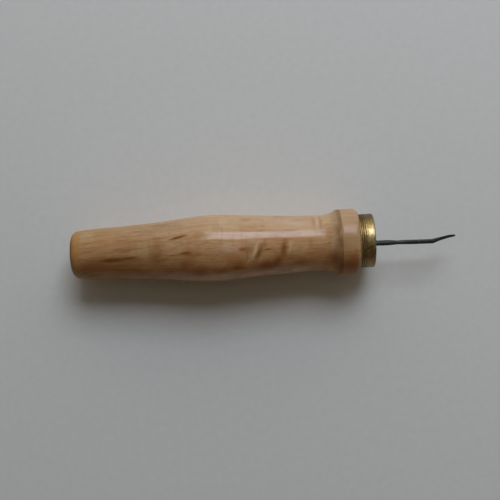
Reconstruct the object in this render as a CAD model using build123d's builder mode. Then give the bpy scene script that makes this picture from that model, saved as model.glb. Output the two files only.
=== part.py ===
"""Lino cutter: a fine bent gouge with its tang bedded in a turned handle, behind a brass ferrule.

The tool lies on its side on the plane z = 0. +X runs along it from the butt to the cutting edge,
and the origin is under the middle of its length.
"""
from build123d import *
from math import cos, radians, sin, tan
import os

# ---------------------------------------------------------------- dimensions, mm and degrees
# Handle: distances along the tool are counted from the butt
handle_length = 116.8        # butt to the shoulder behind the ferrule
butt_face_radius = 6.7
butt_rim_length = 2.6        # the rounded edge round the butt
butt_rim_radius = 9.75
belly_at = 57.9
belly_radius = 13.72
waist_at = 101.9
waist_radius = 11.33
rear_taper = [(16.4, 10.68), (30.4, 11.42), (42.9, 12.56), (48.9, 13.26)]
front_taper = [(65.0, 13.4), (72.9, 12.78), (87.9, 11.83)]
cove_end_at = 107.6
cove_end_radius = 13.0
bead_at = 109.3              # the incised line behind the bead
bead_radius = 13.45
bead_edge_radius = 13.35
bead_front_at = 114.8
line_half_width = 0.25
line_depth = 0.35
shoulder_radius = 11.45
tenon_end_gap = 0.3          # the end grain stops short of the ferrule's rim
tenon_chamfer = 0.3

# Ferrule
ferrule_length = 6.0
ferrule_radius = 11.0
ferrule_bore_radius = 9.9
ferrule_front_round = 0.45
ferrule_rear_chamfer = 0.25
ferrule_bore_chamfer = 0.3
groove_half_width = 0.32
grooves = [(0.6, 0.3), (1.8, 0.3), (3.3, 0.1), (4.7, 0.1)]   # distance ahead of the shoulder, depth

# Cutter: distances along it are counted forwards from the ferrule's rim
cutter_offset = 1.22         # the shank leaves the ferrule to one side of the axis
cutter_lean = 0.8            # and points a little further to that side
tang_radius = 1.0
tang_length = 30.0           # from the rim back to the point of the tang
tang_point_length = 8.0      # the squared and pointed end
tang_point_side = 1.3
tang_tip_side = 0.5
shank_end = 6.3
shank_radius = 1.08
neck_slope = -0.02           # how the outline leaves the shank towards the neck
neck_at = 10.6
neck_radius = 0.8
blade_at = 16.0              # the neck has widened into the blade here
bend_at = 24.4
bend_angle = 11.5
bend_radius = 4.0
tip_run = 7.45               # from the bend to where the tip levels out
level_run = 2.0
level_radius = 3.0
lip_height = 0.9             # the channel's two lips, above the shank's own axis
keel_depth = 1.84            # from the lips down to the back of the blade
blade_half_width = 1.15
blade_section_drop = 0.7     # the blade's section is an ellipse centred this far below the lips
tip_half_width = 0.95
tip_depth = 0.82
bevel_at = 0.9               # share of the rise where the section below is reached
bevel_half_width = 1.0       # the section near the end of the ground bevel
bevel_drop = 0.12
bevel_depth = 1.15
channel_radius = 0.72
channel_full_at = 18.0       # the channel reaches its full depth here
runout_radius = 8.6          # behind that it rises clear of the steel on this arc
runout_turn = 35
clearance = 6.0              # how far cutting shapes reach past the steel

# Adhesive round the tang
bedding_radius = 1.25
bedding_past_tang = 0.6
collar_radius = 2.1
collar_mid_radius = 1.6
collar_top_radius = 1.2
collar_height = 0.8

# ---------------------------------------------------------------- places that follow from them
axis_height = belly_radius
rim_at = handle_length + ferrule_length
level_turn = bend_angle - cutter_lean        # leaves the tip parallel to the tool's axis
bend_tangent = bend_radius * tan(radians(bend_angle / 2))
level_tangent = level_radius * tan(radians(level_turn / 2))
cutter_reach = bend_at * cos(radians(cutter_lean)) + tip_run * cos(radians(level_turn)) + level_run
overall_length = rim_at + cutter_reach
butt_x = -overall_length / 2
rim_x = butt_x + rim_at
end_grain_at = rim_at - tenon_end_gap
end_grain = Plane(origin=(butt_x + end_grain_at, 0, axis_height), z_dir=(1, 0, 0))
collar_y = tenon_end_gap * tan(radians(cutter_lean)) - cutter_offset
collar_origin = (butt_x + end_grain_at, collar_y, axis_height)

tool_side = Plane(origin=(butt_x, 0, axis_height), x_dir=(1, 0, 0), z_dir=(0, -1, 0))
tool_axis = Axis((butt_x, 0, axis_height), (1, 0, 0))

cutter_direction = (cos(radians(cutter_lean)), -sin(radians(cutter_lean)), 0)
cutter_top = Plane(origin=(rim_x, -cutter_offset, axis_height), x_dir=cutter_direction, z_dir=(0, 0, 1))
cutter_axis = Axis(cutter_top.origin, cutter_top.x_dir)


def blade_route(start_at, height):
    """Draw the blade's bent route this high above the cutter's own axis, and return its five runs."""
    straight = Line((start_at, height), (bend_at - bend_tangent, height))
    bend = JernArc(straight @ 1, straight % 1, bend_radius - height, bend_angle)
    rise = PolarLine(bend @ 1, tip_run - bend_tangent - level_tangent, direction=bend % 1)
    levelling = JernArc(rise @ 1, rise % 1, level_radius + height, -level_turn)
    level = PolarLine(levelling @ 1, level_run - level_tangent, direction=levelling % 1)
    return straight, bend, rise, levelling, level


def section_plane(edge, at):
    """A plane across an edge of the lips' route: its local x is up, its local y is towards the keel."""
    return Plane(origin=edge @ at, x_dir=(0, 0, 1), z_dir=edge % at)


def across_cutter(at):
    """A plane across the cutter's own axis."""
    return Plane(origin=cutter_top.from_local_coords((at, 0, 0)), x_dir=(0, 0, 1), z_dir=cutter_top.x_dir)


# ---------------------------------------------------------------- handle
with BuildPart() as pilot_bore:
    with BuildSketch(across_cutter(-tang_length - bedding_past_tang)):
        Circle(bedding_radius)
    extrude(amount=tang_length + bedding_past_tang)

with BuildPart() as handle:
    with BuildSketch(tool_side):
        with BuildLine():
            butt = Line((0, 0), (0, butt_face_radius))
            rim = TangentArc(butt @ 1, (butt_rim_length, butt_rim_radius), tangent=(0, 1))
            rear = Spline(rim @ 1, *rear_taper, (belly_at, belly_radius), tangents=(rim % 1, (1, 0)))
            grip = Spline(rear @ 1, *front_taper, (waist_at, waist_radius), tangents=((1, 0), (1, 0)))
            cove = TangentArc(grip @ 1, (cove_end_at, cove_end_radius), tangent=grip % 1)
            crest = TangentArc(cove @ 1, (bead_at - line_half_width, bead_edge_radius), tangent=cove % 1)
            line = Polyline(crest @ 1, (bead_at, bead_edge_radius - line_depth),
                            (bead_at + line_half_width, bead_edge_radius))
            bead = ThreePointArc(line @ 1, ((bead_at + bead_front_at) / 2, bead_radius),
                                 (bead_front_at, bead_edge_radius))
            front = TangentArc(bead @ 1, (handle_length, shoulder_radius), tangent=bead % 1)
            Polyline(front @ 1, (handle_length, ferrule_bore_radius), (end_grain_at, ferrule_bore_radius),
                     (end_grain_at, 0), butt @ 0)
        make_face()
    revolve(axis=tool_axis)
    end_grain_edge = handle.edges().filter_by(GeomType.CIRCLE).sort_by(Axis.X)[-1]
    chamfer(end_grain_edge, tenon_chamfer)
    add(pilot_bore.part, mode=Mode.SUBTRACT)

# ---------------------------------------------------------------- ferrule
with BuildPart() as ferrule:
    with BuildSketch(tool_side):
        with Locations((handle_length, ferrule_bore_radius)):
            Rectangle(ferrule_length, ferrule_radius - ferrule_bore_radius, align=(Align.MIN, Align.MIN))
    revolve(axis=tool_axis)
    rims = ferrule.edges().filter_by(GeomType.CIRCLE).group_by(Axis.X)
    fillet(rims[-1].sort_by(SortBy.RADIUS)[-1], ferrule_front_round)
    chamfer(rims[-1].sort_by(SortBy.RADIUS)[0], ferrule_bore_chamfer)
    chamfer(rims[0].sort_by(SortBy.RADIUS)[-1], ferrule_rear_chamfer)
    for groove_at, groove_depth in grooves:
        with BuildSketch(tool_side):
            with BuildLine():
                Polyline(
                    (handle_length + groove_at - groove_half_width, ferrule_radius),
                    (handle_length + groove_at, ferrule_radius - groove_depth),
                    (handle_length + groove_at + groove_half_width, ferrule_radius),
                    close=True,
                )
            make_face()
        revolve(axis=tool_axis, mode=Mode.SUBTRACT)

# ---------------------------------------------------------------- cutter
with BuildPart() as cutter:
    # Tang, shank and neck are turned about the cutter's own axis
    with BuildSketch(cutter_top):
        with BuildLine():
            tang_rear = tang_point_length - tang_length
            back = Line((tang_rear, 0), (tang_rear, tang_radius))
            tang = Line(back @ 1, (0, shank_radius))
            shank = Line(tang @ 1, (shank_end, shank_radius))
            neck = Spline(shank @ 1, (neck_at, neck_radius), tangents=((1, neck_slope), (1, 0)))
            front = Line(neck @ 1, (neck_at, 0))
            Line(front @ 1, back @ 0)
        make_face()
    revolve(axis=cutter_axis)
    # The tang's end is squared and drawn to a point
    with BuildSketch(across_cutter(tang_rear)):
        Rectangle(tang_point_side, tang_point_side)
    with BuildSketch(across_cutter(-tang_length)):
        Rectangle(tang_tip_side, tang_tip_side)
    loft()
    # The neck widens into the blade, which is bent and then ground to a bevel
    with BuildLine(cutter_top):
        straight, bend, rise, levelling, level = blade_route(blade_at, lip_height)
    with BuildSketch(across_cutter(neck_at)):
        Circle(neck_radius)
    with BuildSketch(section_plane(straight, 0)) as blade_section:
        with Locations((0, blade_section_drop)):
            Ellipse(blade_half_width, keel_depth - blade_section_drop)
    loft()
    sweep(sections=blade_section.sketch, path=Wire([straight, bend]))
    with BuildSketch(section_plane(bend, 1)):
        with Locations((0, blade_section_drop)):
            Ellipse(blade_half_width, keel_depth - blade_section_drop)
    with BuildSketch(section_plane(rise, bevel_at)):
        with Locations((0, bevel_drop)):
            Ellipse(bevel_half_width, bevel_depth - bevel_drop)
    with BuildSketch(section_plane(level, 1)):
        Ellipse(tip_half_width, tip_depth)
    loft()
    # Everything above the lips is filed away
    with BuildSketch(cutter_top):
        with BuildLine():
            above = blade_route(neck_at, lip_height)
            above_start = above[0] @ 0
            above_end = above[-1] @ 1
            Polyline(
                above_end,
                above_end + Vector(0, clearance, 0),
                above_start + Vector(0, 2 * clearance, 0),
                above_start,
            )
        make_face()
    extrude(amount=clearance, both=True, mode=Mode.SUBTRACT)
    # The channel runs out at its rear end, short of the neck
    with BuildLine(cutter_top) as channel_line:
        blade_route(channel_full_at, lip_height)
        JernArc((channel_full_at, lip_height), (-1, 0), runout_radius, -runout_turn)
    with BuildSketch(section_plane(level, 1)):
        Circle(channel_radius)
    sweep(path=channel_line.wires()[0], mode=Mode.SUBTRACT)

# ---------------------------------------------------------------- adhesive round the tang
with BuildPart() as tang_bedding:
    add(pilot_bore.part)
    split(bisect_by=end_grain, keep=Keep.BOTTOM)
    with BuildSketch(Plane(origin=collar_origin, x_dir=(1, 0, 0), z_dir=(0, 0, 1))):
        with BuildLine():
            foot = Line((0, 0), (0, collar_radius))
            collar_top = (collar_height, collar_top_radius)
            ThreePointArc(foot @ 1, (collar_height / 3, collar_mid_radius), collar_top)
            Polyline(collar_top, (collar_height, 0), foot @ 0)
        make_face()
    revolve(axis=Axis(collar_origin, (1, 0, 0)))
    add(cutter.part, mode=Mode.SUBTRACT)

# ---------------------------------------------------------------- write the pieces
os.makedirs("parts", exist_ok=True)
pieces = {"handle": handle, "ferrule": ferrule, "cutter": cutter, "tang_bedding": tang_bedding}
for name, piece in pieces.items():
    piece.part.label = name
    export_step(piece.part, f"parts/{name}.step")
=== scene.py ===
"""The lino cutter's looks: lacquered turned wood, a worn brass ferrule, dark steel, amber adhesive.

The tool lies along +X on the plane z = 0. Places along it are counted from the butt, and an angle
round it is counted from straight up, positive towards +Y.
"""
import math

import bpy
import numpy as np
from mathutils import Matrix, Vector


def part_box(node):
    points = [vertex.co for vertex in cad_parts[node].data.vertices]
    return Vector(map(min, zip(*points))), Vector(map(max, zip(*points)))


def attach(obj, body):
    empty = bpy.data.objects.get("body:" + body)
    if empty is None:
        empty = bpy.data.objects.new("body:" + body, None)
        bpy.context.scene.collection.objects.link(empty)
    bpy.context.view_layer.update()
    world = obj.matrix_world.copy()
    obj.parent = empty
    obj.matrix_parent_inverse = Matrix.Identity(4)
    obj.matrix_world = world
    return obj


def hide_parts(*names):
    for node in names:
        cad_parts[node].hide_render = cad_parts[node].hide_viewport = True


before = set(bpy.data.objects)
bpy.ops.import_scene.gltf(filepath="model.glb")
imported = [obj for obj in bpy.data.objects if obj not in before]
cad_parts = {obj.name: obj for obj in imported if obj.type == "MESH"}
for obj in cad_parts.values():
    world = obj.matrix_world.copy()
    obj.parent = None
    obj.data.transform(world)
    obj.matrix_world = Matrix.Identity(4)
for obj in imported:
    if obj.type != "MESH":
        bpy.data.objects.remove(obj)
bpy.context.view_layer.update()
MM = 0.001

# ---------------------------------------------------------------- places, read from the frame
handle_low, handle_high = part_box("handle")
ferrule_low, ferrule_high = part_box("ferrule")
bedding_low, bedding_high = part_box("tang_bedding")
butt_x = handle_low.x
axis_z = (handle_low.z + handle_high.z) / 2
shoulder_at = ferrule_low.x - butt_x
rim_at = ferrule_high.x - butt_x
end_grain_at = handle_high.x - butt_x
tip_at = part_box("cutter")[1].x - butt_x
ferrule_radius = (ferrule_high.y - ferrule_low.y) / 2
bore_y = (bedding_low.y + bedding_high.y) / 2
bore_end_at = bedding_low.x - butt_x

# ---------------------------------------------------------------- sizes that follow the CAD design
TENON_RADIUS = 9.9 * MM
TENON_CHAMFER = 0.3 * MM
BORE_RADIUS = 1.25 * MM
BORE_DRIFT = 0.43 * MM           # the bore leans, so its far end is this much nearer to the axis
BEAD_LINE_AT = 109.3 * MM
COVE_START_AT = 101.9 * MM


# ---------------------------------------------------------------- turned meshes
def new_object(name, data):
    """An object of this data, in the scene."""
    made = bpy.data.objects.new(name, data)
    bpy.context.scene.collection.objects.link(made)
    return made


def mesh_object(name, points, faces):
    """A smooth-shaded mesh that rides on the tool."""
    mesh = bpy.data.meshes.new(name)
    mesh.from_pydata(points, [], faces)
    mesh.shade_smooth()
    piece = new_object(name, mesh)
    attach(piece, "root")
    return piece


def ring_faces(ring_count, segments, loop):
    """Quads that join each ring to the next, and the last to the first in a loop."""
    faces = []
    for ring in range(ring_count if loop else ring_count - 1):
        here = ring * segments
        there = (ring + 1) % ring_count * segments
        for i in range(segments):
            j = (i + 1) % segments
            faces.append((here + i, there + i, there + j, here + j))
    return faces


def turned_mesh(name, rings, segments, relief, loop=False):
    """Skin rings of (place along the tool, centre's y, radius).

    relief(places, angles) gives how far each point stands proud of its ring. In a loop the last
    ring joins the first, and otherwise a point closes the stack at each end.
    """
    places, centres, radii = (np.array(column)[:, None] for column in zip(*rings))
    angles = np.linspace(0, 2 * math.pi, segments, endpoint=False)[None, :]
    places, angles = np.broadcast_arrays(places, angles)
    radii = radii + relief(places, angles)
    x = butt_x + places
    y = centres + radii * np.sin(angles)
    z = axis_z + radii * np.cos(angles)
    points = np.stack([x, y, z], axis=-1).reshape(-1, 3).tolist()
    faces = ring_faces(len(rings), segments, loop)
    if not loop:
        first = len(points)
        last_ring = first - segments
        points.append((butt_x + rings[0][0], rings[0][1], axis_z))
        points.append((butt_x + rings[-1][0], rings[-1][1], axis_z))
        faces += [(first, i, (i + 1) % segments) for i in range(segments)]
        faces += [(first + 1, last_ring + (i + 1) % segments, last_ring + i) for i in range(segments)]
    return mesh_object(name, points, faces)


# ---------------------------------------------------------------- handle
HANDLE_SEGMENTS = 272
FACE_RINGS = (0.05, 0.2, 0.4, 0.6, 0.8, 0.93)    # on the butt's face, as shares of its radius
PROFILE_STEP = 0.05 * MM         # the profile is smoothed on an even grid this fine
GRIP_SMOOTHING = 1.6 * MM
LINE_SMOOTHING = 7 * PROFILE_STEP
OUTER_RADIUS = 5 * MM            # every point of the outer profile is further out than this
GRIP_RADIUS = 12.5 * MM          # typical, to measure distances round the grip
HANDLE_OUT_OF_ROUND = 0.05 * MM
WAVE_HEIGHT = 0.018 * MM
# The rings' spacing, in millimetres: start, stop, step
GRIP_STRETCHES = [
    (0.0, 3.0, 0.2),
    (3.0, 101.0, 0.38),
    (101.0, 108.6, 0.27),
    (108.6, 110.0, 0.1),
    (110.0, 114.4, 0.3),
    (114.4, 116.8, 0.17),
]
# Dents in the lacquer: place, angle in degrees, radius, depth
DENTS = [
    (101.2 * MM, 21, 0.55 * MM, 0.12 * MM),
    (113.4 * MM, 21, 0.5 * MM, 0.1 * MM),
    (63.5 * MM, 18, 0.5 * MM, 0.06 * MM),
    (92.0 * MM, -64, 0.8 * MM, 0.1 * MM),
    (36.0 * MM, 118, 0.9 * MM, 0.1 * MM),
    (70.0 * MM, -140, 0.8 * MM, 0.08 * MM),
]


def grip_places():
    """Where the rings stand: close at the butt's edge, the incised line and the front round."""
    places = []
    for start, stop, step in GRIP_STRETCHES:
        places.append(np.linspace(start, stop, round((stop - start) / step), endpoint=False) * MM)
    return np.append(np.concatenate(places), shoulder_at)


def cad_profile():
    """The CAD handle's outer radius against the distance from the butt, as two arrays."""
    points = np.array([v.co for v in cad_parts["handle"].data.vertices])
    along = np.round(points[:, 0] - butt_x, 6)
    radius = np.hypot(points[:, 1], points[:, 2] - axis_z)
    outer = radius > OUTER_RADIUS
    places = np.unique(along[outer])
    largest = np.array([radius[outer & (along == place)].max() for place in places])
    return places, largest


def gaussian_smooth(values, width):
    """Smooth evenly spaced values, with the ends held."""
    reach = int(math.ceil(3 * width))
    weights = np.exp(-0.5 * (np.arange(-reach, reach + 1) / width) ** 2)
    padded = np.pad(values, reach, mode="edge")
    return np.convolve(padded, weights / weights.sum(), mode="valid")


def smooth_profile():
    """The CAD profile, smoothed along the grip and, less widely, at the incised line."""
    fine = np.arange(0, shoulder_at, PROFILE_STEP)
    exact = np.interp(fine, *cad_profile())
    wide = gaussian_smooth(exact, GRIP_SMOOTHING / PROFILE_STEP)
    narrow = gaussian_smooth(exact, LINE_SMOOTHING / PROFILE_STEP)
    fade_in = np.clip((fine - 5 * MM) / (4 * MM), 0, 1)
    fade_out = np.clip((COVE_START_AT - 2 * MM - fine) / (4 * MM), 0, 1)
    grip = np.minimum(fade_in, fade_out)
    line = np.clip(2 - np.abs(fine - BEAD_LINE_AT) / (0.5 * MM), 0, 1)
    return fine, exact + grip * (wide - exact) + line * (narrow - exact)


profile_places, profile_radii = smooth_profile()


def handle_relief(places, angles):
    """What turning, drying and use have done: slightly out of round, faint waves, a few dents."""
    body = np.clip(places / (4 * MM), 0, 1) * np.clip((shoulder_at - places) / (3 * MM), 0, 1)
    oval = HANDLE_OUT_OF_ROUND * np.cos(2 * angles + 0.8 + places / (60 * MM))
    wander = 0.6 * np.sin(places / (7.7 * MM)) + 0.4 * np.sin(angles)
    waves = WAVE_HEIGHT * np.sin(places / (3.1 * MM) + wander)
    relief = body * (oval + waves - HANDLE_OUT_OF_ROUND)
    for place, angle, radius, depth in DENTS:
        turn = (angles - math.radians(angle) + math.pi) % (2 * math.pi) - math.pi
        distance = np.hypot((places - place) / 1.5, turn * GRIP_RADIUS)
        relief = relief - depth * np.exp(-((distance / radius) ** 2))
    return relief


def make_handle():
    """The wooden handle: the butt's face, the grip, the tenon, the end grain and the pilot bore."""
    places = grip_places()
    radii = np.interp(places, profile_places, profile_radii)
    rings = [(0.0, 0.0, radii[0] * share) for share in FACE_RINGS]
    rings += [(place, 0.0, radius) for place, radius in zip(places, radii)]
    weathered_rings = len(rings)
    rings += [
        (shoulder_at, 0.0, (radii[-1] + TENON_RADIUS) / 2),
        (shoulder_at, 0.0, TENON_RADIUS),
        (end_grain_at - TENON_CHAMFER, 0.0, TENON_RADIUS),
    ]
    for share in np.linspace(0, 1, 10):
        radius = (1 - share) * (TENON_RADIUS - TENON_CHAMFER) + share * BORE_RADIUS
        rings.append((end_grain_at, share * bore_y, radius))
    for share in (0.5, 1.0):
        place = end_grain_at + share * (bore_end_at - end_grain_at)
        rings.append((place, bore_y + share * BORE_DRIFT, BORE_RADIUS))
    rings.append((bore_end_at, bore_y + BORE_DRIFT, BORE_RADIUS / 2))

    def relief(places, angles):
        weathered = np.arange(len(rings))[:, None] < weathered_rings
        return np.where(weathered, handle_relief(places, angles), 0)

    handle = turned_mesh("turned_handle", rings, HANDLE_SEGMENTS, relief)
    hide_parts("handle")
    return handle


# ---------------------------------------------------------------- ferrule
FERRULE_SEGMENTS = 240
FRONT_ROUND = 0.45 * MM
REAR_CHAMFER = 0.12 * MM
BORE_CHAMFER = 0.3 * MM
FERRULE_STEP = 0.06 * MM         # between its rings
FERRULE_OUT_OF_ROUND = 0.03 * MM
KNOCK_DEPTH = 0.012 * MM
# Rings cut round the ferrule: distance ahead of the shoulder, depth, half width
TOOL_RINGS = [
    (0.55 * MM, 0.15 * MM, 0.26 * MM),
    (1.35 * MM, 0.2 * MM, 0.28 * MM),
    (2.15 * MM, 0.13 * MM, 0.25 * MM),
    (2.95 * MM, 0.06 * MM, 0.2 * MM),
    (4.3 * MM, 0.03 * MM, 0.3 * MM),
]


def ferrule_surface():
    """The outer profile from the rear chamfer to the front round."""
    profile = []
    length = rim_at - shoulder_at
    for place in np.arange(REAR_CHAMFER, length - FRONT_ROUND, FERRULE_STEP):
        radius = ferrule_radius
        for ring_at, depth, half_width in TOOL_RINGS:
            reach = abs(place - ring_at) / half_width
            if reach < 1:
                radius -= depth * (1 - reach ** 2) ** 1.5
        profile.append((shoulder_at + place, 0.0, radius))
    for turn in np.linspace(0, math.pi / 2, 7):
        place = rim_at - FRONT_ROUND * (1 - math.sin(turn))
        profile.append((place, 0.0, ferrule_radius - FRONT_ROUND * (1 - math.cos(turn))))
    return profile


def ferrule_relief(places, angles):
    """Shallow knocks and the flattening that driving it on has left."""
    oval = FERRULE_OUT_OF_ROUND * np.cos(2 * angles + 0.5)
    uneven = KNOCK_DEPTH * np.sin(5 * angles + 1.0) * np.sin(places / (0.9 * MM))
    return oval + uneven - FERRULE_OUT_OF_ROUND


def make_ferrule():
    """The brass ring: its rear face, its outside with the tool rings, its front rim and its bore."""
    rings = [(shoulder_at, 0.0, TENON_RADIUS), (shoulder_at, 0.0, ferrule_radius - REAR_CHAMFER)]
    rings += ferrule_surface()
    rings += [
        (rim_at, 0.0, (ferrule_radius - FRONT_ROUND + TENON_RADIUS + BORE_CHAMFER) / 2),
        (rim_at, 0.0, TENON_RADIUS + BORE_CHAMFER),
        (rim_at - BORE_CHAMFER, 0.0, TENON_RADIUS),
    ]
    outside = np.array([[radius > TENON_RADIUS + BORE_CHAMFER / 2] for _, _, radius in rings])

    def relief(places, angles):
        return np.where(outside, ferrule_relief(places, angles), 0)

    ferrule = turned_mesh("brass_ferrule", rings, FERRULE_SEGMENTS, relief, loop=True)
    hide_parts("ferrule")
    return ferrule


# ---------------------------------------------------------------- adhesive
BEDDING_SEGMENTS = 72
COLLAR_RADIUS = 2.1 * MM
COLLAR_HEIGHT = 0.8 * MM
COLLAR_RINGS = 9
COLLAR_LIP = 0.08 * MM           # how thick the collar still is at its top
COLLAR_UNEVENNESS = 0.28 * MM
SHANK_HOLE_RADIUS = 1.09 * MM
TANG_HOLE_RADIUS = 0.92 * SHANK_HOLE_RADIUS
SLEEVE_RADIUS = 0.97 * BORE_RADIUS
PAST_TANG = 0.6 * MM


def make_bedding():
    """The hardened sleeve round the tang, with the uneven collar squeezed out on the end grain."""
    rings = [
        (bore_end_at, bore_y + BORE_DRIFT, SLEEVE_RADIUS),
        (end_grain_at, bore_y, SLEEVE_RADIUS),
    ]
    collar_start = len(rings)
    heights = np.linspace(0, 1, COLLAR_RINGS)
    for height in heights:
        spread = (COLLAR_RADIUS - SHANK_HOLE_RADIUS) * (1 - height) ** 1.8
        place = end_grain_at + COLLAR_HEIGHT * height ** 1.3
        rings.append((place, bore_y, SHANK_HOLE_RADIUS + COLLAR_LIP + spread))
    collar = slice(collar_start, len(rings))
    rings += [
        (end_grain_at + COLLAR_HEIGHT, bore_y, SHANK_HOLE_RADIUS),
        (bore_end_at + PAST_TANG, bore_y + BORE_DRIFT, TANG_HOLE_RADIUS),
    ]

    def relief(places, angles):
        uneven = np.zeros(places.shape)
        swell = 0.5 + 0.5 * np.sin(2 * angles + 0.6) + 0.3 * np.sin(5 * angles + 2)
        uneven[collar] = -COLLAR_UNEVENNESS * swell[collar] * (1 - heights)[:, None]
        return uneven

    bedding = turned_mesh("adhesive_collar", rings, BEDDING_SEGMENTS, relief, loop=True)
    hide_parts("tang_bedding")
    return bedding


# ---------------------------------------------------------------- node helpers
def add(tree, kind, inputs=None, **settings):
    """Add a shader node, set its properties, and set each input or link it to a socket."""
    made = tree.nodes.new("ShaderNode" + kind)
    for name, value in settings.items():
        setattr(made, name, value)
    for key, value in (inputs or {}).items():
        if isinstance(value, bpy.types.NodeSocket):
            tree.links.new(value, made.inputs[key])
        else:
            made.inputs[key].default_value = value
    return made


def calc(tree, operation, *values):
    """A Math node's result."""
    return add(tree, "Math", dict(enumerate(values)), operation=operation).outputs[0]


def vector_calc(tree, operation, *values):
    """A Vector Math node's vector."""
    return add(tree, "VectorMath", dict(enumerate(values)), operation=operation).outputs[0]


def length_of(tree, vector):
    """How long a vector is."""
    return add(tree, "VectorMath", {0: vector}, operation="LENGTH").outputs["Value"]


def component(tree, vector, axis):
    """One of a vector's three numbers: 0 is x, 1 is y and 2 is z."""
    return add(tree, "SeparateXYZ", {0: vector}).outputs[axis]


def fade(tree, value, start, stop, low=0.0, high=1.0):
    """A value carried smoothly from start..stop to low..high, and held at both ends."""
    inputs = {"Value": value, "From Min": start, "From Max": stop, "To Min": low, "To Max": high}
    return add(tree, "MapRange", inputs, interpolation_type="SMOOTHSTEP").outputs[0]


def mix(tree, share, first, second, blend="MIX"):
    """Two colours mixed."""
    inputs = {0: share, 6: first, 7: second}
    return add(tree, "Mix", inputs, data_type="RGBA", blend_type=blend).outputs[2]


def place_from_butt(tree):
    """Millimetres: x from the butt, y and z from the tool's axis."""
    coordinates = add(tree, "TexCoord").outputs["Object"]
    shifted = vector_calc(tree, "ADD", coordinates, (-butt_x, 0, -axis_z))
    return add(tree, "VectorMath", {0: shifted, "Scale": 1 / MM}, operation="SCALE").outputs[0]


def stretched(tree, vector, scale, shift=(0, 0, 0)):
    """The vector scaled by a different number along each axis, and shifted."""
    return vector_calc(tree, "MULTIPLY_ADD", vector, scale, shift)


def clouds(tree, vector, detail=2.0, roughness=0.5, scale=1.0, distortion=0.0):
    """Noise between 0 and 1."""
    inputs = {"Vector": vector, "Scale": scale, "Detail": detail}
    inputs |= {"Roughness": roughness, "Distortion": distortion}
    return add(tree, "TexNoise", inputs).outputs["Fac"]


def bumped(tree, height, strength, distance):
    """A normal tilted by the height, which is 1 for this distance in metres."""
    inputs = {"Height": height, "Strength": strength, "Distance": distance}
    return add(tree, "Bump", inputs).outputs[0]


def new_material(name, constants):
    """A material, its node tree and its shader, with these inputs set on the shader."""
    material = bpy.data.materials.new(name)
    material.use_nodes = True
    tree = material.node_tree
    shader = tree.nodes["Principled BSDF"]
    for key, value in constants.items():
        shader.inputs[key].default_value = value
    return material, tree, shader


def put_on(piece, material):
    """Give the piece this material and no other."""
    piece.data.materials.clear()
    piece.data.materials.append(material)


# ---------------------------------------------------------------- wood
WOOD = (0.61, 0.325, 0.138, 1)
WOOD_PALE = (0.70, 0.43, 0.215, 1)
WOOD_DEEP = (0.36, 0.145, 0.042, 1)
WOOD_RED = (0.36, 0.122, 0.034, 1)
WOOD_PINK = (0.66, 0.32, 0.160, 1)
WOOD_OLIVE = (0.54, 0.315, 0.105, 1)
PALE_TONE_AND_LIGHT = (0.80, 0.61, 0.42, 1)
LOW_SIDE_SHADE = (0.96, 0.83, 0.66, 1)
LIT_SIDE_PALE = (0.66, 0.465, 0.290, 1)
CURL_PALE = (0.88, 0.60, 0.34, 1)
CURL_DARK = (0.27, 0.088, 0.020, 1)
FLECK = (0.26, 0.086, 0.014, 1)
KNOT_COLOUR = (0.40, 0.130, 0.029, 1)
EDGE_AMBER = (0.51, 0.24, 0.063, 1)
SHADE_AND_DIRT_BROWN = (0.130, 0.070, 0.025, 1)
BUTT_RIM_SHADE = (0.085, 0.062, 0.048, 1)
REAR_SHADE = (0.82, 0.82, 0.80, 1)
BEAD_PINK = (0.47, 0.290, 0.185, 1)
END_PALE = (0.43, 0.245, 0.110, 1)
END_DARK = (0.24, 0.115, 0.045, 1)
END_PORE = (0.20, 0.095, 0.038, 1)
END_STAIN = (0.11, 0.060, 0.030, 1)
PITH = (0, 26.0, -41.0)          # the tree's centre, in millimetres from the handle's axis
RING_SPACING = 2.3
MARK_DEPTH = 3.5                 # how far a mark reaches into the wood and above it

# Marks in the grain: place, angle, tilt, length, width, strength, in millimetres and degrees.
# The tilt is measured on the surface, from the grain towards +Y.
FLECKS = [
    (17.7, -15.4, 1.0, 15.0, 2.7, 0.95),
    (23.8, -12.8, 7.0, 12.5, 1.9, 0.85),
    (9.5, -15.0, 0.0, 10.0, 0.8, 0.35),
    (44.3, 23.0, 11.0, 10.5, 1.8, 0.9),
    (46.9, -6.4, 4.0, 7.6, 1.7, 0.8),
    (47.8, -9.3, 1.0, 5.5, 0.8, 0.6),
    (41.6, -10.0, 3.0, 5.0, 0.7, 0.5),
    (40.8, 34.0, 0.0, 1.6, 0.8, 0.6),
    (27.8, 46.0, 2.0, 4.5, 0.8, 0.4),
    (4.4, -11.0, 5.0, 3.2, 0.9, 0.3),
    (56.4, -0.5, 2.0, 6.0, 0.5, 0.4),
    (59.6, -13.0, 8.0, 2.0, 0.6, 0.45),
    (57.5, 4.0, 0.0, 7.0, 0.4, 0.3),
    (61.0, 7.0, -2.0, 6.0, 0.4, 0.3),
    (66.2, 3.0, -2.0, 5.5, 0.5, 0.35),
    (79.6, -7.0, 3.0, 4.6, 0.9, 0.5),
    (77.8, 40.0, 0.0, 2.6, 0.8, 0.45),
    (96.5, -33.0, 14.0, 3.0, 0.6, 0.4),
    (52.0, 96.0, 4.0, 7.0, 0.8, 0.6),
    (84.0, 128.0, -6.0, 5.0, 0.8, 0.6),
    (30.0, -86.0, 5.0, 8.0, 1.0, 0.6),
    (75.0, -118.0, -3.0, 6.0, 0.7, 0.6),
    (61.0, 171.0, 6.0, 9.0, 1.2, 0.7),
    (22.0, 140.0, -4.0, 6.0, 0.8, 0.5),
    (47.0, -142.0, 7.0, 5.0, 0.7, 0.5),
]
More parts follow.
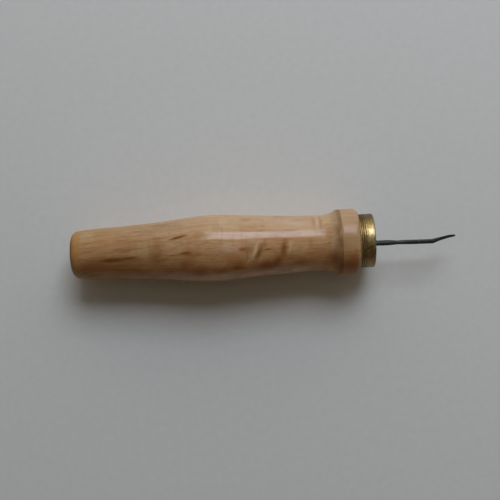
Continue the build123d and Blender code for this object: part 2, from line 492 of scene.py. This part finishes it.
# Bands of curled grain, which cross the rest
STREAKS = [
    (76.0, -13.0, 66.0, 13.5, 3.2, 0.85),
    (78.4, 4.0, 80.0, 6.0, 3.4, 0.45),
    (86.0, -7.0, 78.0, 12.0, 4.2, 0.9),
    (83.4, -31.0, 58.0, 9.0, 5.0, 0.75),
    (96.6, 1.0, 90.0, 7.0, 2.8, 0.3),
    (101.2, 48.0, 90.0, 14.0, 2.2, 0.38),
    (98.4, 50.0, 90.0, 12.0, 2.6, 0.28),
    (80.0, 116.0, 72.0, 14.0, 3.6, 0.6),
    (86.0, 124.0, 66.0, 12.0, 3.0, 0.5),
    (34.0, 154.0, 102.0, 11.0, 3.2, 0.5),
    (64.0, -104.0, 74.0, 14.0, 3.8, 0.6),
    (69.0, -98.0, 80.0, 12.0, 2.6, 0.5),
]
PALE_STREAKS = [
    (74.3, -10.0, 67.0, 15.0, 1.9, 0.75),
    (72.0, -24.0, 62.0, 8.0, 1.8, 0.45),
    (88.4, -6.0, 78.0, 9.0, 2.2, 0.35),
    (99.8, 49.0, 90.0, 12.0, 1.8, 0.4),
    (78.2, 112.0, 70.0, 13.0, 2.0, 0.35),
    (66.6, -101.0, 76.0, 13.0, 2.0, 0.3),
]
# Browner places, with edges that fade away. Those at -27 to -47 degrees, on the lower side, are partly
# painted shade there, and the wide one on the bead is painted shade
PATCHES = [
    (14.0, -27.0, 0.0, 32.0, 9.5, 0.65),
    (35.0, -14.0, 84.0, 12.0, 9.0, 0.5),
    (47.0, -27.0, 0.0, 9.0, 8.0, 0.5),
    (52.5, -43.0, 0.0, 12.0, 8.0, 0.7),
    (67.4, -38.0, 10.0, 10.0, 5.6, 1.0),
    (60.0, -42.0, 0.0, 14.0, 7.0, 0.6),
    (71.2, -5.0, 4.0, 9.0, 4.6, 0.6),
    (72.5, -27.0, 50.0, 7.0, 4.0, 0.5),
    (79.0, -40.0, 0.0, 17.0, 9.0, 1.0),
    (92.0, -38.0, 0.0, 14.0, 7.0, 0.6),
    (106.3, -30.0, 0.0, 8.0, 9.0, 0.7),
    (112.8, -47.0, 0.0, 15.0, 24.0, 0.75),
    (37.0, 60.0, 0.0, 16.0, 4.0, 0.4),
    (71.5, 58.0, 20.0, 8.0, 4.0, 0.35),
    (93.0, 58.0, 0.0, 12.0, 4.0, 0.3),
    (24.0, 108.0, 4.0, 22.0, 7.0, 0.45),
    (58.0, 138.0, -6.0, 18.0, 8.0, 0.5),
    (92.0, 160.0, 12.0, 14.0, 7.0, 0.5),
    (44.0, -168.0, 4.0, 20.0, 7.0, 0.5),
    (28.0, -118.0, -5.0, 18.0, 8.0, 0.45),
    (88.0, -134.0, 8.0, 16.0, 8.0, 0.5),
    (55.0, -82.0, 0.0, 18.0, 7.0, 0.5),
]
# Paler places, with edges that fade away. The first three, at -2 to 50 degrees, are painted light on
# the lit upper side
PALE_PATCHES = [
    (65.0, -2.0, 0.0, 34.0, 8.0, 0.26),
    (90.0, 47.0, 0.0, 40.0, 13.0, 0.42),
    (66.0, 50.0, 0.0, 32.0, 10.0, 0.22),
    (106.0, 0.0, 90.0, 16.0, 5.0, 0.3),
    (48.0, -150.0, 5.0, 30.0, 9.0, 0.3),
    (76.0, 150.0, -4.0, 26.0, 8.0, 0.3),
]
KNOTS = [
    (69.4, -4.6, 6.0, 5.0, 2.1, 1.0),
    (79.3, -7.0, 3.0, 4.6, 1.3, 0.7),
    (38.0, 128.0, 4.0, 5.0, 2.2, 0.8),
]


def on_surface(place, angle):
    """The point of the grip at this place and angle, in millimetres from the butt and the axis."""
    radius = float(np.interp(place * MM, profile_places, profile_radii)) / MM
    turn = math.radians(angle)
    return Vector((place, radius * math.sin(turn), radius * math.cos(turn)))


def mark(tree, vector, spec, core):
    """How strongly a mark shows: its strength in the core, falling to 0 at its outline.

    The core is a share of the way from the mark's middle to its outline.
    """
    place, angle, tilt, length, width, strength = spec
    outwards = Matrix.Rotation(-math.radians(angle), 3, "X")
    lean = Matrix.Rotation(math.radians(tilt), 3, "Z")
    inputs = {
        "Vector": vector,
        "Location": on_surface(place, angle),
        "Rotation": (outwards @ lean).to_euler(),
        "Scale": (length / 2, width / 2, MARK_DEPTH),
    }
    within = add(tree, "Mapping", inputs, vector_type="TEXTURE").outputs[0]
    nearness = add(tree, "TexGradient", {0: within}, gradient_type="SPHERICAL").outputs[1]
    return fade(tree, nearness, 0.0, 1.0 - core, 0.0, strength)


def marks(tree, vector, specs, core=0.0):
    """The strongest of several marks at each point."""
    result = mark(tree, vector, specs[0], core)
    for spec in specs[1:]:
        result = calc(tree, "MAXIMUM", result, mark(tree, vector, spec, core))
    return result


def band(tree, along, centre, half_width, soft):
    """1 within a stretch of the tool's length, fading to 0 over the soft distance on each side."""
    distance = calc(tree, "ABSOLUTE", calc(tree, "SUBTRACT", along, centre))
    return fade(tree, distance, half_width + soft, half_width)


def nudged(tree, vector, scale, reach, detail=2.0):
    """The vector pushed about by noise, to bend or roughen what is drawn with it."""
    inputs = {"Vector": stretched(tree, vector, scale), "Scale": 1.0, "Detail": detail}
    push = add(tree, "TexNoise", inputs).outputs["Color"]
    centred = vector_calc(tree, "SUBTRACT", push, (0.5, 0.5, 0.5))
    return stretched(tree, centred, reach, vector)


def growth_rings(tree, grain):
    """Late wood, as thin dark shells round the tree's centre."""
    from_pith = vector_calc(tree, "SUBTRACT", grain, PITH)
    distance = length_of(tree, stretched(tree, from_pith, (0, 1, 1)))
    uneven = clouds(tree, stretched(tree, grain, (0.012, 0.09, 0.09)), detail=0.5)
    count = calc(tree, "DIVIDE", calc(tree, "MULTIPLY_ADD", uneven, 2.4, distance), RING_SPACING)
    ring = calc(tree, "FRACT", count)
    return calc(tree, "MULTIPLY", fade(tree, ring, 0.35, 0.92), fade(tree, ring, 1.0, 0.94))


def figured_wood(tree, place, grain, late_wood, fibres):
    """The sawn surface's colour before any mark: mottled, with fine strands along the grain."""
    strands = clouds(tree, stretched(tree, grain, (0.11, 0.80, 0.80)), detail=3.0, roughness=0.6)
    mottle = clouds(tree, stretched(tree, place, (0.11, 0.17, 0.17)), detail=3.0)
    hue = clouds(tree, stretched(tree, place, (0.17, 0.27, 0.27), (40, 3, 9)))
    curl = clouds(tree, stretched(tree, place, (0.26, 0.10, 0.10), (7, 1, 5)), distortion=0.9)
    curl_patches = clouds(tree, stretched(tree, place, (0.035, 0.07, 0.07), (9, 4, 4)), detail=1.0)
    curled_share = fade(tree, curl_patches, 0.42, 0.60, 0.0, 0.3)
    curls = calc(tree, "MULTIPLY", fade(tree, curl, 0.50, 0.70), curled_share)
    pores = add(tree, "TexVoronoi", {"Vector": stretched(tree, grain, (0.55, 3.4, 3.4)), "Scale": 1.0})
    pore_dots = fade(tree, pores.outputs["Distance"], 0.24, 0.08)
    pore_patches = clouds(tree, stretched(tree, place, (0.09, 0.3, 0.3), (3, 8, 2)))
    pore_share = calc(tree, "MULTIPLY", pore_dots, fade(tree, pore_patches, 0.46, 0.58, 0.0, 0.55))

    colour = mix(tree, fade(tree, mottle, 0.32, 0.66), WOOD, WOOD_PALE)
    colour = mix(tree, fade(tree, hue, 0.50, 0.70, 0.0, 0.55), colour, WOOD_PINK)
    colour = mix(tree, fade(tree, hue, 0.48, 0.30, 0.0, 0.45), colour, WOOD_OLIVE)
    colour = mix(tree, calc(tree, "MULTIPLY", late_wood, 0.2), colour, WOOD_DEEP)
    colour = mix(tree, fade(tree, strands, 0.48, 0.72, 0.0, 0.5), colour, WOOD_DEEP)
    colour = mix(tree, fade(tree, fibres, 0.48, 0.72, 0.0, 0.34), colour, WOOD_DEEP)
    colour = mix(tree, curls, colour, WOOD_DEEP)
    return mix(tree, pore_share, colour, FLECK)


def marked_wood(tree, place, colour, fleck):
    """Patches, curled bands, knots and flecks over the plain wood."""
    loose = nudged(tree, place, (0.35, 0.8, 0.8), (2.4, 1.6, 1.6))
    close = nudged(tree, place, (0.6, 1.4, 1.4), (1.2, 0.5, 0.5))
    # Pale patches: on the upper side these are partly painted light
    colour = mix(tree, marks(tree, loose, PALE_PATCHES), colour, PALE_TONE_AND_LIGHT)
    # Browner patches: on the lower side these are partly painted shade
    colour = mix(tree, marks(tree, loose, PATCHES), colour, WOOD_RED)
    colour = mix(tree, marks(tree, close, STREAKS), colour, CURL_DARK)
    colour = mix(tree, marks(tree, close, PALE_STREAKS), colour, CURL_PALE)
    colour = mix(tree, marks(tree, close, KNOTS), colour, KNOT_COLOUR)
    return mix(tree, fleck, colour, FLECK)


def cove_shade_and_shoulder_band(tree, along, place):
    """Painted shade that deepens through the cove up to the bead's line, and a little darkening round
    the ferrule's shoulder.
    """
    line_at = BEAD_LINE_AT / MM
    uneven = clouds(tree, stretched(tree, place, (0.35, 0.22, 0.22), (2, 9, 6)))
    thin = fade(tree, along, line_at - 5.0, line_at - 1.4, 0.0, 0.26)
    thick = fade(tree, along, line_at - 2.0, line_at - 0.6, 0.0, 0.34)
    behind_bead = fade(tree, along, line_at + 0.30, line_at + 0.12)
    cove = calc(tree, "MULTIPLY", calc(tree, "ADD", thin, thick), behind_bead)
    cove = calc(tree, "MULTIPLY", cove, fade(tree, uneven, 0.30, 0.62, 0.75, 1.15))
    collar = calc(tree, "MULTIPLY", band(tree, along, shoulder_at / MM, 0.2, 0.8), 0.3)
    return calc(tree, "MAXIMUM", cove, collar)


def tinted_and_shaded_wood(tree, along, sideways, colour, darkening):
    """The bead's pink tone and an amber band by the butt, then painted shade: a darker rear half, the
    cove band, and the butt's very edge darkened.
    """
    line_at = BEAD_LINE_AT / MM
    # Painted shade: the rear half made darker
    colour = mix(tree, fade(tree, along, 60.0, 32.0), colour, REAR_SHADE, "MULTIPLY")
    pink = fade(tree, sideways, -7.0, 0.0, -0.1, 0.35)
    on_bead = calc(tree, "MULTIPLY", fade(tree, along, line_at - 0.7, line_at + 0.9), pink)
    colour = mix(tree, on_bead, colour, BEAD_PINK)
    amber = fade(tree, sideways, -9.0, -1.0, 0.35, 0.6)
    at_rim = calc(tree, "MULTIPLY", band(tree, along, 2.6, 0.6, 2.2), amber)
    colour = mix(tree, at_rim, colour, EDGE_AMBER)
    # Painted shade in the cove before the bead, with a darker band at the ferrule's shoulder
    colour = mix(tree, darkening, colour, SHADE_AND_DIRT_BROWN)
    # Painted shade on the butt's rim, which faces away from the light
    return mix(tree, fade(tree, along, 1.7, 0.3, 0.0, 0.6), colour, BUTT_RIM_SHADE)


def end_grain(tree, along, grain, late_wood):
    """The colour of cut ends: ring arcs and open pores, stained by adhesive at the front."""
    at_front = fade(tree, along, shoulder_at / MM + 0.9, shoulder_at / MM + 1.1, 0.0, 0.45)
    speckle = clouds(tree, stretched(tree, grain, (0.2, 3.2, 3.2)), detail=3.0, roughness=0.7)
    colour = mix(tree, calc(tree, "MULTIPLY", late_wood, 0.75), END_PALE, END_DARK)
    colour = mix(tree, fade(tree, speckle, 0.42, 0.68, 0.0, 0.6), colour, END_PORE)
    return mix(tree, at_front, colour, END_STAIN)


def lacquer(tree, shader, along, sideways, place, height, darkening, end):
    """The clear coat, duller in front and at the rear, over the darkened cove band, on the rubbed side
    and on ends.
    """
    orange_peel = clouds(tree, place, scale=0.75, detail=1.0)
    matt = clouds(tree, place, scale=5.5)
    dulled = calc(tree, "MULTIPLY", matt, fade(tree, along, 84.0, 104.0, 0.1, 1.8))
    skin = calc(tree, "ADD", calc(tree, "MULTIPLY_ADD", height, 0.25, orange_peel), dulled)
    tree.links.new(bumped(tree, skin, 0.3, 0.05 * MM), shader.inputs["Coat Normal"])

    in_front = fade(tree, along, 96.0, 110.0, 1.0, 0.7)
    gloss = calc(tree, "MULTIPLY", in_front, fade(tree, along, 12.0, 50.0, 0.32, 1.0))
    gloss = calc(tree, "MULTIPLY", gloss, fade(tree, darkening, 0.16, 0.40, 1.0, 0.25))
    rubbed_side = fade(tree, sideways, -6.0, -10.0, 0.0, 0.65)
    rubbed = calc(tree, "MULTIPLY", fade(tree, along, 90.0, 107.0), rubbed_side)
    gloss = calc(tree, "MULTIPLY", gloss, calc(tree, "SUBTRACT", 1.0, rubbed))
    gloss = calc(tree, "MULTIPLY", gloss, fade(tree, end, 0.0, 1.0, 1.0, 0.25))
    tree.links.new(gloss, shader.inputs["Coat Weight"])


def make_wood():
    """Pale close-grained wood with flecks, curled bands and knots, under a clear coat."""
    constants = {"Roughness": 0.5, "Specular IOR Level": 0.05, "Coat Roughness": 0.13, "Coat IOR": 1.42}
    material, tree, shader = new_material("lacquered_wood", constants)
    place = place_from_butt(tree)
    along = component(tree, place, 0)
    grain = nudged(tree, place, (0.016, 0.032, 0.032), (0, 9.0, 9.0), 0.0)
    late_wood = growth_rings(tree, grain)
    fibres = clouds(tree, stretched(tree, grain, (0.10, 2.4, 2.4)), detail=3.0, roughness=0.6)
    fleck = marks(tree, nudged(tree, place, (0.6, 1.6, 1.6), (0.8, 0.35, 0.35)), FLECKS, 0.3)

    colour = figured_wood(tree, place, grain, late_wood, fibres)
    # Painted shade: darker and browner towards -Y, the shaded side. Painted light: paler towards +Y,
    # the lit side. The border between them is uneven
    sideways = component(tree, nudged(tree, place, (0.06, 0.1, 0.1), (0, 5.0, 5.0)), 1)
    colour = mix(tree, fade(tree, sideways, 3.0, -9.0), colour, LOW_SIDE_SHADE, "MULTIPLY")
    colour = mix(tree, fade(tree, sideways, 4.0, 11.0, 0.0, 0.4), colour, LIT_SIDE_PALE)
    colour = marked_wood(tree, place, colour, fleck)
    # Painted shade in the cove before the bead, and a darker band at the ferrule's shoulder
    darkening = cove_shade_and_shoulder_band(tree, along, place)
    colour = tinted_and_shaded_wood(tree, along, sideways, colour, darkening)
    normal_x = component(tree, add(tree, "TexCoord").outputs["Normal"], 0)
    end = fade(tree, calc(tree, "ABSOLUTE", normal_x), 0.80, 0.97)
    colour = mix(tree, end, colour, end_grain(tree, along, grain, late_wood))
    tree.links.new(colour, shader.inputs["Base Color"])

    # Open fibres under the lacquer, faint turning marks, and flecks a little sunk
    turning = clouds(tree, stretched(tree, place, (2.2, 0.02, 0.02)))
    height = calc(tree, "MULTIPLY_ADD", turning, 0.35, calc(tree, "MULTIPLY", fibres, 0.5))
    height = calc(tree, "MULTIPLY_ADD", fleck, -0.6, height)
    tree.links.new(bumped(tree, height, 0.25, 0.06 * MM), shader.inputs["Normal"])
    lacquer(tree, shader, along, sideways, place, height, darkening, end)
    return material


# ---------------------------------------------------------------- brass
BRASS = (0.66, 0.48, 0.215, 1)
BRASS_DULL = (0.43, 0.30, 0.115, 1)
BRASS_SPOT = (0.20, 0.110, 0.040, 1)
BRASS_RING = (0.25, 0.160, 0.060, 1)
BRASS_DIRT = (0.085, 0.055, 0.026, 1)
BRASS_TOP_DARK_REFLECTION = (0.23, 0.165, 0.10, 1)
BRASS_LOW_DARK_REFLECTION = (0.29, 0.185, 0.080, 1)


def make_brass():
    """Turned brass with dull patches, dark spots, ring stains, dirt in the grooves, and painted dark
    reflections on its upper and lower sides.
    """
    material, tree, shader = new_material("turned_brass", {"Metallic": 0.92})
    place = place_from_butt(tree)
    along = component(tree, place, 0)
    radius = length_of(tree, stretched(tree, place, (0, 1, 1)))
    rings = clouds(tree, stretched(tree, place, (4.5, 0.03, 0.03)), detail=4.0, roughness=0.7)
    fine_rings = clouds(tree, stretched(tree, place, (18.0, 0.06, 0.06), (2, 5, 1)))
    patches = clouds(tree, stretched(tree, place, (0.55, 0.32, 0.32)), detail=4.0, roughness=0.6)
    spots = clouds(tree, place, detail=4.0, roughness=0.65)
    wear = clouds(tree, stretched(tree, place, (0.9, 0.5, 0.5), (11, 2, 7)))

    colour = mix(tree, fade(tree, patches, 0.42, 0.58), BRASS, BRASS_DULL)
    sideways = component(tree, nudged(tree, place, (0.3, 0.3, 0.3), (0, 1.5, 1.5)), 1)
    spot_share = fade(tree, sideways, 4.0, -3.0, 0.5, 0.85)
    spotting = calc(tree, "MULTIPLY", fade(tree, spots, 0.49, 0.62), spot_share)
    colour = mix(tree, spotting, colour, BRASS_SPOT)
    # Painted dark reflections: greyer and darker on the upper side, browner on the lower side
    colour = mix(tree, fade(tree, sideways, 7.0, 9.5, 0.0, 0.9), colour, BRASS_TOP_DARK_REFLECTION)
    colour = mix(tree, fade(tree, sideways, -5.0, -10.0, 0.0, 0.85), colour, BRASS_LOW_DARK_REFLECTION)
    ring_share = fade(tree, along, shoulder_at / MM + 1.5, shoulder_at / MM + 4.8, 0.9, 0.3)
    ring_stain = calc(tree, "MULTIPLY", fade(tree, rings, 0.47, 0.56), ring_share)
    colour = mix(tree, ring_stain, colour, BRASS_RING)
    groove = fade(tree, radius, ferrule_radius / MM - 0.05, ferrule_radius / MM - 0.2)
    colour = mix(tree, calc(tree, "MULTIPLY", groove, 0.8), colour, BRASS_DIRT)
    tree.links.new(colour, shader.inputs["Base Color"])

    rough = calc(tree, "MULTIPLY_ADD", groove, 0.15, fade(tree, patches, 0.35, 0.7, 0.40, 0.52))
    rough = calc(tree, "MULTIPLY_ADD", fade(tree, wear, 0.5, 0.6), -0.06, rough)
    tree.links.new(rough, shader.inputs["Roughness"])
    height = calc(tree, "MULTIPLY", calc(tree, "MULTIPLY_ADD", fine_rings, 0.4, rings), ring_share)
    tree.links.new(bumped(tree, height, 0.5, 0.06 * MM), shader.inputs["Normal"])
    return material


# ---------------------------------------------------------------- steel
STEEL = (0.036, 0.037, 0.038, 1)
STEEL_WORN = (0.075, 0.075, 0.076, 1)
RUST = (0.085, 0.050, 0.030, 1)
STEEL_GROUND = (0.21, 0.21, 0.205, 1)


def make_steel():
    """Dark oxidised steel with a little rust and a bright ground edge at the tip."""
    material, tree, shader = new_material("dark_steel", {"Metallic": 0.45})
    place = place_from_butt(tree)
    scale_patches = clouds(tree, place, scale=0.9, detail=4.0, roughness=0.65)
    rust = clouds(tree, stretched(tree, place, (0.4, 0.8, 0.8), (5, 5, 5)), detail=3.0)
    scratches = clouds(tree, stretched(tree, place, (0.35, 6.0, 6.0)))
    colour = mix(tree, fade(tree, scale_patches, 0.4, 0.65), STEEL, STEEL_WORN)
    colour = mix(tree, fade(tree, rust, 0.56, 0.70, 0.0, 0.5), colour, RUST)
    along = component(tree, nudged(tree, place, (1.5, 1.5, 1.5), (0.5, 0, 0)), 0)
    at_tip = fade(tree, along, tip_at / MM - 0.7, tip_at / MM - 0.4)
    ground = calc(tree, "MULTIPLY", at_tip, fade(tree, scratches, 0.3, 0.6, 0.4, 0.9))
    colour = mix(tree, ground, colour, STEEL_GROUND)
    tree.links.new(colour, shader.inputs["Base Color"])
    tree.links.new(fade(tree, scale_patches, 0.35, 0.7, 0.62, 0.46), shader.inputs["Roughness"])
    height = calc(tree, "MULTIPLY_ADD", scratches, 0.4, scale_patches)
    tree.links.new(bumped(tree, height, 0.6, 0.08 * MM), shader.inputs["Normal"])
    return material


# ---------------------------------------------------------------- adhesive
ADHESIVE = (0.30, 0.160, 0.045, 1)
ADHESIVE_DARK = (0.11, 0.055, 0.020, 1)


def make_adhesive():
    """Hardened amber adhesive with dirt in it."""
    depth = (0.6 * MM, 0.3 * MM, 0.1 * MM)
    constants = {"Roughness": 0.22, "Subsurface Weight": 0.25, "Subsurface Radius": depth}
    material, tree, shader = new_material("cured_adhesive", constants)
    darkening = clouds(tree, place_from_butt(tree), scale=1.6, detail=3.0)
    colour = mix(tree, fade(tree, darkening, 0.42, 0.66), ADHESIVE, ADHESIVE_DARK)
    tree.links.new(colour, shader.inputs["Base Color"])
    tree.links.new(bumped(tree, darkening, 0.4, 0.15 * MM), shader.inputs["Normal"])
    return material


# ---------------------------------------------------------------- camera, lights and floor
CAMERA_DISTANCE = 360 * MM        # from the tool's axis, straight above it
VIEW_WIDTH = 204.75 * MM          # what the frame's width covers at the axis
VIEW_CENTRE = 72.47 * MM          # from the butt
VIEW_SIDE = -1.45 * MM
CAMERA_ROLL = 2.87                # degrees
SENSOR = 36
DAYLIGHT = (0.885, 0.99, 1.15)
SOFT_WHITE = (1.0, 0.98, 0.92)
WARM_WHITE = (1.0, 0.96, 0.88)
WARMER_WHITE = (1.0, 0.95, 0.86)
FILL = (1.0, 0.83, 0.58, 1)
FILL_STRENGTH = 0.060
BACKDROP = (0.26, 0.26, 0.26, 1)
SOFTBOX_POWERS = (0.57, 1.24, 1.68, 1.45, 0.8)
SOFTBOX_SPACING = 8               # degrees
FLOOR_REACH = 1.6
FLOOR_PALE = (0.86, 0.845, 0.80, 1)
FLOOR_DEEP = (0.79, 0.775, 0.735, 1)


def make_camera():
    """A camera straight above the tool, a little turned."""
    data = bpy.data.cameras.new("camera")
    data.sensor_width = SENSOR
    data.lens = SENSOR * CAMERA_DISTANCE / VIEW_WIDTH
    camera = new_object("camera", data)
    turn = Matrix.Rotation(-math.radians(CAMERA_ROLL), 4, "Z")
    above = Matrix.Translation((butt_x + VIEW_CENTRE, VIEW_SIDE, axis_z + CAMERA_DISTANCE))
    camera.matrix_world = above @ turn
    bpy.context.scene.camera = camera


def area_light(name, towards_y, towards_x, distance, size, power, colour):
    """A rectangular light aimed at the tool's middle. Its angles from straight up are in degrees."""
    data = bpy.data.lights.new(name, "AREA")
    data.shape = "RECTANGLE"
    data.size, data.size_y = size
    data.energy = power
    data.color = colour
    light = new_object(name, data)
    lean_y = math.radians(towards_y)
    lean_x = math.radians(towards_x)
    leaning = Vector((0, math.sin(lean_y), math.cos(lean_y)))
    direction = leaning * math.cos(lean_x) + Vector((math.sin(lean_x), 0, 0))
    light.location = Vector((0, 0, axis_z)) + direction * distance
    light.rotation_mode = "QUATERNION"
    light.rotation_quaternion = direction.to_track_quat("Z", "Y")
    light.visible_camera = False


def make_lights():
    """A window over the +Y side, soft boxes below it, and weaker lights above and ahead."""
    area_light("window", 42, 9, 1.2, (0.62, 0.49), 3.6, DAYLIGHT)
    area_light("window_glow", 42, 9, 1.21, (0.80, 0.61), 2.5, DAYLIGHT)
    for step, power in enumerate(SOFTBOX_POWERS):
        lean = 50 + SOFTBOX_SPACING * step
        area_light(f"softbox_{step}", lean, 12, 1.3, (3.2, 0.19), power, SOFT_WHITE)
    area_light("ceiling", 12, 4, 1.3, (1.3, 0.42), 0.35, WARM_WHITE)
    area_light("front", 0, 77, 1.2, (0.9, 0.5), 0.5, WARMER_WHITE)


def make_world():
    """A dim warm fill, behind a pale backdrop that lights nothing."""
    world = bpy.data.worlds.new("studio")
    bpy.context.scene.world = world
    world.use_nodes = True
    tree = world.node_tree
    fill = tree.nodes["Background"]
    fill.inputs["Color"].default_value = FILL
    fill.inputs["Strength"].default_value = FILL_STRENGTH
    backdrop = add(tree, "Background", {"Color": BACKDROP})
    seen = add(tree, "LightPath").outputs["Is Camera Ray"]
    either = add(tree, "MixShader", {0: seen, 1: fill.outputs[0], 2: backdrop.outputs[0]})
    tree.links.new(either.outputs[0], tree.nodes["World Output"].inputs["Surface"])


def make_floor():
    mesh = bpy.data.meshes.new("floor")
    corners = [(x * FLOOR_REACH, y * FLOOR_REACH, 0) for x, y in ((-1, -1), (1, -1), (1, 1), (-1, 1))]
    mesh.from_pydata(corners, [], [(0, 1, 2, 3)])
    floor = new_object("floor", mesh)
    material, tree, shader = new_material("pale_floor", {"Roughness": 0.85})
    fine = clouds(tree, add(tree, "TexCoord").outputs["Object"], scale=350.0)
    tree.links.new(mix(tree, fine, FLOOR_DEEP, FLOOR_PALE), shader.inputs["Base Color"])
    put_on(floor, material)


make_camera()
make_lights()
make_world()
make_floor()
put_on(make_handle(), make_wood())
put_on(make_ferrule(), make_brass())
put_on(make_bedding(), make_adhesive())
put_on(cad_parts["cutter"], make_steel())
bpy.context.scene.view_settings.view_transform = "Standard"
